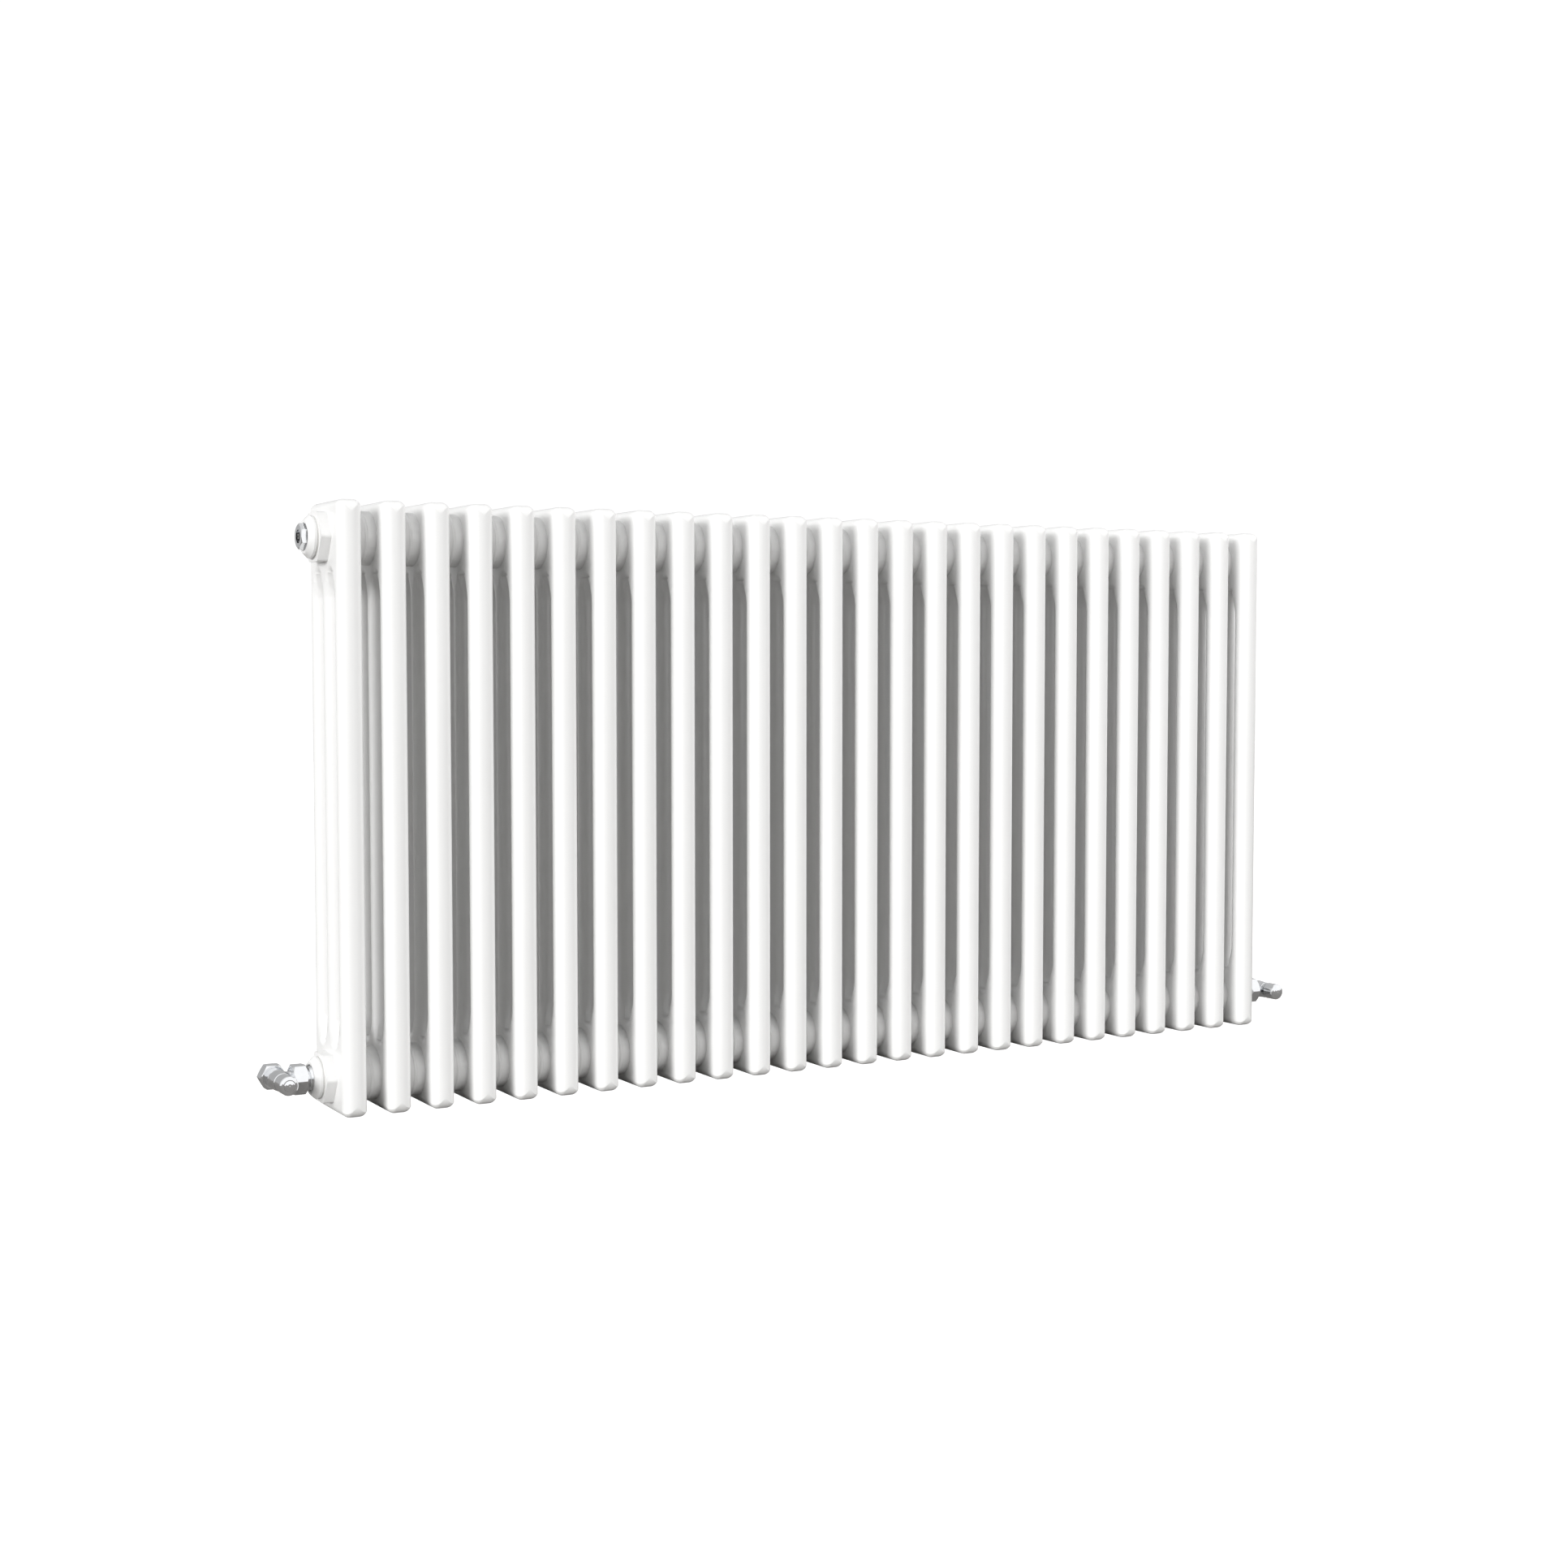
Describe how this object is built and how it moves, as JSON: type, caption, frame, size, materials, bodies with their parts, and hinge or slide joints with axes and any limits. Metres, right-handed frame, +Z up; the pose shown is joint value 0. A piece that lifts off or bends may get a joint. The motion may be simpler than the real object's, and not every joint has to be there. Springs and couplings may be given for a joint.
{
  "type": "column radiator with angle valves",
  "caption": "White multi-column steel radiator with upright tubes between pressed headers, an air vent and chrome angle valves at both lower corners.",
  "frame": {"origin": "under the middle of the radiator, on the plane that its bottom headers touch", "axes": "+X along the radiator towards the return valve, +Y from the front to the wall, +Z up"},
  "size_m": [1.2762, 0.1, 0.6],
  "materials": {
    "white_powder_coat": "smooth satin-gloss white powder coat",
    "chrome": "polished chrome plate",
    "brass": "machined brass",
    "steel": "zinc-plated",
    "seal_rubber": "black moulded rubber",
    "fibre_gasket": "pale sealing fibre"
  },
  "bodies": {
    "radiator": {"air_vent_plug": "chrome", "blank_plug": "chrome", "bush_gaskets": "fibre_gasket", "connection_seals": "seal_rubber", "olives": "brass", "reducing_bush_bottom_left": "white_powder_coat", "reducing_bush_bottom_right": "white_powder_coat", "reducing_bush_top_left": "white_powder_coat", "reducing_bush_top_right": "white_powder_coat", "return_bonnet": "chrome", "return_compression_nut": "chrome", "return_union_nut": "chrome", "return_valve_body": "chrome", "return_valve_tail": "chrome", "section_01": "white_powder_coat", "section_02": "white_powder_coat", "section_03": "white_powder_coat", "section_04": "white_powder_coat", "section_05": "white_powder_coat", "section_06": "white_powder_coat", "section_07": "white_powder_coat", "section_08": "white_powder_coat", "section_09": "white_powder_coat", "section_10": "white_powder_coat", "section_11": "white_powder_coat", "section_12": "white_powder_coat", "section_13": "white_powder_coat", "section_14": "white_powder_coat", "section_15": "white_powder_coat", "section_16": "white_powder_coat", "section_17": "white_powder_coat", "section_18": "white_powder_coat", "section_19": "white_powder_coat", "section_20": "white_powder_coat", "section_21": "white_powder_coat", "section_22": "white_powder_coat", "section_23": "white_powder_coat", "section_24": "white_powder_coat", "section_25": "white_powder_coat", "section_26": "white_powder_coat", "spindle_seals": "seal_rubber", "supply_bonnet": "chrome", "supply_compression_nut": "chrome", "supply_union_nut": "chrome", "supply_valve_body": "chrome", "supply_valve_tail": "chrome"},
    "bleed_screw": {"bleed_screw": "brass"},
    "supply_handwheel": {"supply_spindle": "brass", "handwheel": "chrome", "handwheel_screw": "steel", "handwheel_cover": "chrome"},
    "supply_plug": {"supply_valve_plug": "brass", "supply_plug_washer": "seal_rubber"},
    "return_spindle": {"return_spindle": "brass"},
    "return_plug": {"return_valve_plug": "brass", "return_plug_washer": "seal_rubber"},
    "lockshield_cap": {"lockshield_cap": "chrome"}
  },
  "joints": [
    {"name": "bleed_screw_turn", "type": "hinge", "parent": "radiator", "child": "bleed_screw", "pos_m": [-0.595, 0, 0.565], "axis": [-1, 0, 0], "range_deg": [0, 360]},
    {"name": "handwheel_turn", "type": "hinge", "parent": "radiator", "child": "supply_handwheel", "pos_m": [-0.6245, -0.02, 0.035], "axis": [0, -1, 0], "range_deg": [0, 1620]},
    {"name": "supply_plug_lift", "type": "slide", "parent": "radiator", "child": "supply_plug", "axis": [0, -1, 0], "range_m": [0, 0.0045]},
    {"name": "lockshield_spindle_turn", "type": "hinge", "parent": "radiator", "child": "return_spindle", "pos_m": [0.6245, -0.02, 0.035], "axis": [0, -1, 0], "range_deg": [0, 1620]},
    {"name": "return_plug_lift", "type": "slide", "parent": "radiator", "child": "return_plug", "axis": [0, -1, 0], "range_m": [0, 0.0045]},
    {"name": "lockshield_cap_pull", "type": "slide", "parent": "radiator", "child": "lockshield_cap", "axis": [0, -1, 0], "range_m": [0, 0.03]}
  ],
  "couplings": [
    {"joint": "handwheel_turn", "follows": "supply_plug_lift", "rad_per_m": 6283.2},
    {"joint": "lockshield_spindle_turn", "follows": "return_plug_lift", "rad_per_m": 6283.2}
  ]
}
